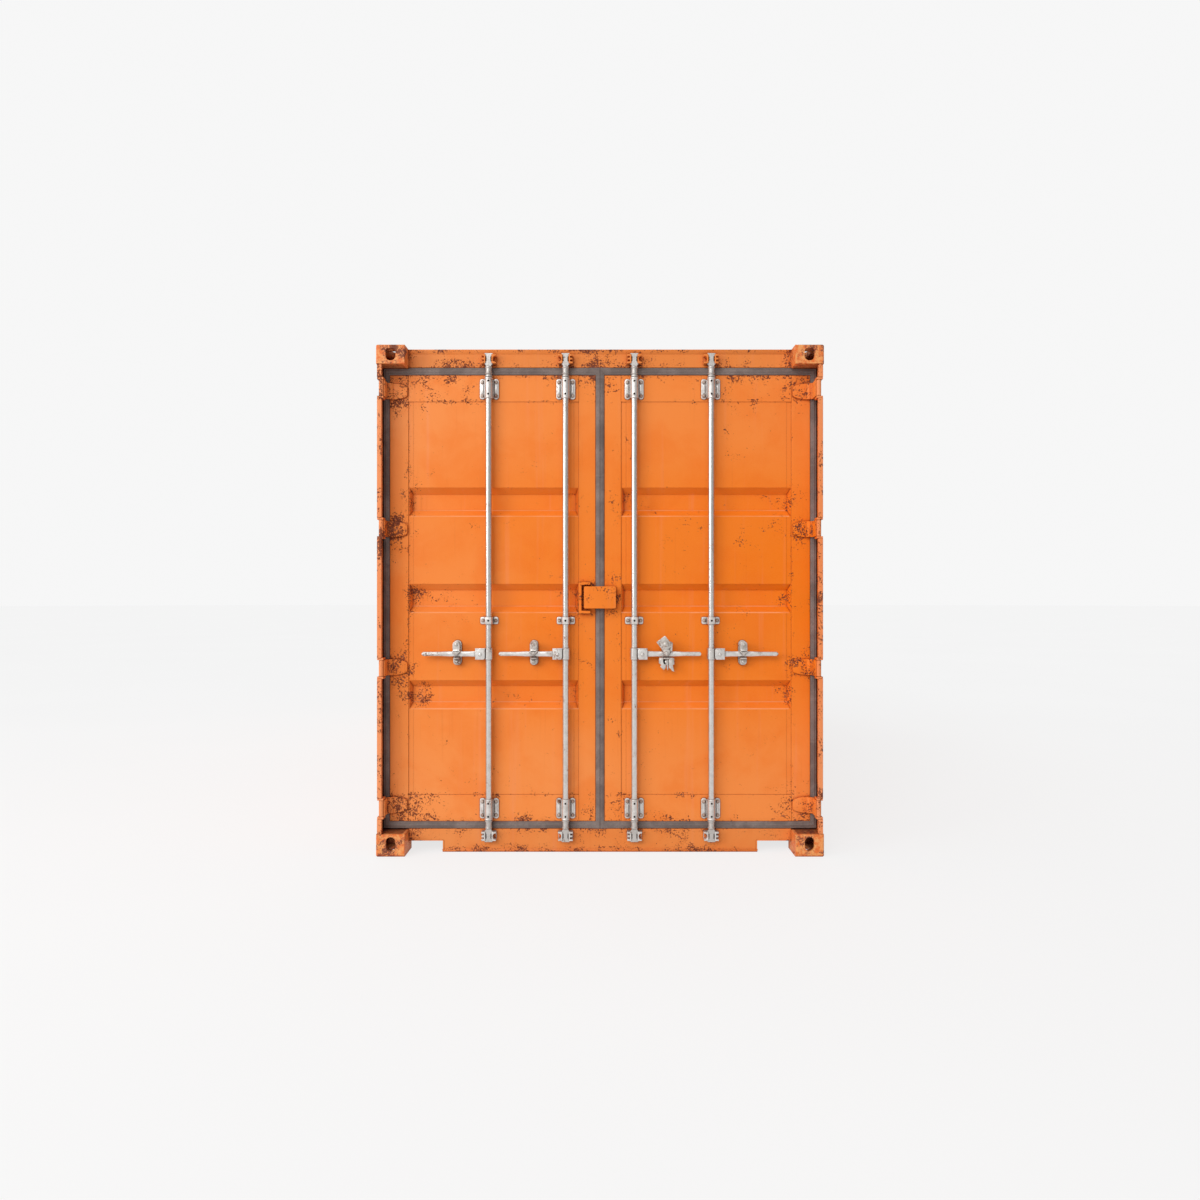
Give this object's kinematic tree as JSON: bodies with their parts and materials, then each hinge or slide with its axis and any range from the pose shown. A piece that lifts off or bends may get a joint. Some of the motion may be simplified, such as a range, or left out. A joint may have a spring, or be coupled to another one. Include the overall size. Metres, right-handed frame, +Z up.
{
  "type": "shipping container",
  "caption": "Steel dry freight container with corrugated walls, corner castings and a pair of hinged end doors closed by lock rods.",
  "frame": {"origin": "centre of the footprint, on the ground plane under the bottom castings", "axes": "+Z up, +Y along the container away from the doors, +X to the right when facing the doors"},
  "size_m": [2.438, 6.058, 2.787],
  "materials": {
    "container_paint": "weathered orange paint with rust",
    "casting": "painted cast steel, mottled with rust",
    "galvanised": "galvanised steel with rust stains",
    "hardware": "galvanised pressed steel",
    "rubber": "weathered grey rubber",
    "floor_board": "scuffed plywood",
    "underframe": "black underframe coating"
  },
  "bodies": {
    "root": {"top_corner_castings": "casting", "bottom_corner_castings": "casting", "door_corner_posts": "container_paint", "end_corner_posts": "container_paint", "door_header": "container_paint", "door_sill": "container_paint", "end_top_rail": "container_paint", "end_bottom_rail": "container_paint", "top_side_rails": "container_paint", "bottom_side_rails": "container_paint", "left_side_wall": "container_paint", "right_side_wall": "container_paint", "end_wall": "container_paint", "roof": "container_paint", "floor": "floor_board", "cross_members": "underframe", "forklift_pockets": "underframe", "top_cam_keepers": "container_paint", "bottom_cam_keepers": "galvanised", "hinge_lugs": "container_paint", "hinge_pins": "hardware"},
    "left_door": {"left_door_stiles": "container_paint", "left_door_rails": "container_paint", "left_door_panel": "container_paint", "left_door_gasket": "rubber", "left_door_hinge_blades": "container_paint", "left_door_rod_brackets": "galvanised", "left_door_handle_rests": "hardware", "left_door_lock_guard": "container_paint"},
    "left_inner_rod": {"left_inner_lock_rod": "galvanised", "left_inner_handle": "galvanised"},
    "left_inner_catch": {"left_inner_handle_catch": "hardware"},
    "left_outer_rod": {"left_outer_lock_rod": "galvanised", "left_outer_handle": "galvanised"},
    "left_outer_catch": {"left_outer_handle_catch": "hardware"},
    "right_door": {"right_door_stiles": "container_paint", "right_door_rails": "container_paint", "right_door_panel": "container_paint", "right_door_gasket": "rubber", "right_door_hinge_blades": "container_paint", "right_door_rod_brackets": "galvanised", "right_door_handle_rests": "hardware", "right_door_lock_box": "container_paint"},
    "right_inner_rod": {"right_inner_lock_rod": "galvanised", "right_inner_handle": "galvanised"},
    "right_inner_catch": {"right_inner_handle_catch": "hardware"},
    "right_outer_rod": {"right_outer_lock_rod": "galvanised", "right_outer_handle": "galvanised"},
    "right_outer_catch": {"right_outer_handle_catch": "hardware"}
  },
  "joints": [
    {"name": "left_door_hinge", "type": "hinge", "parent": "root", "child": "left_door", "pos_m": [-1.194, -3.007, 1.407], "axis": [0, 0, -1], "range_deg": [0, 270]},
    {"name": "left_inner_rod_turn", "type": "hinge", "parent": "left_door", "child": "left_inner_rod", "pos_m": [-0.19, -2.951, 1.1], "axis": [0, 0, -1], "range_deg": [-110, 0]},
    {"name": "left_inner_catch_swing", "type": "hinge", "parent": "left_door", "child": "left_inner_catch", "pos_m": [-0.366, -2.974, 1.152], "axis": [0, 1, 0], "range_deg": [-150, 0]},
    {"name": "left_outer_rod_turn", "type": "hinge", "parent": "left_door", "child": "left_outer_rod", "pos_m": [-0.615, -2.951, 1.1], "axis": [0, 0, -1], "range_deg": [-110, 0]},
    {"name": "left_outer_catch_swing", "type": "hinge", "parent": "left_door", "child": "left_outer_catch", "pos_m": [-0.791, -2.974, 1.152], "axis": [0, 1, 0], "range_deg": [-150, 0]},
    {"name": "right_door_hinge", "type": "hinge", "parent": "root", "child": "right_door", "pos_m": [1.194, -3.007, 1.407], "axis": [0, 0, 1], "range_deg": [0, 270]},
    {"name": "right_inner_rod_turn", "type": "hinge", "parent": "right_door", "child": "right_inner_rod", "pos_m": [0.19, -2.951, 1.1], "axis": [0, 0, 1], "range_deg": [-110, 0]},
    {"name": "right_inner_catch_swing", "type": "hinge", "parent": "right_door", "child": "right_inner_catch", "pos_m": [0.366, -2.974, 1.152], "axis": [0, -1, 0], "range_deg": [-150, 0]},
    {"name": "right_outer_rod_turn", "type": "hinge", "parent": "right_door", "child": "right_outer_rod", "pos_m": [0.615, -2.951, 1.1], "axis": [0, 0, 1], "range_deg": [-110, 0]},
    {"name": "right_outer_catch_swing", "type": "hinge", "parent": "right_door", "child": "right_outer_catch", "pos_m": [0.791, -2.974, 1.152], "axis": [0, -1, 0], "range_deg": [-150, 0]}
  ]
}
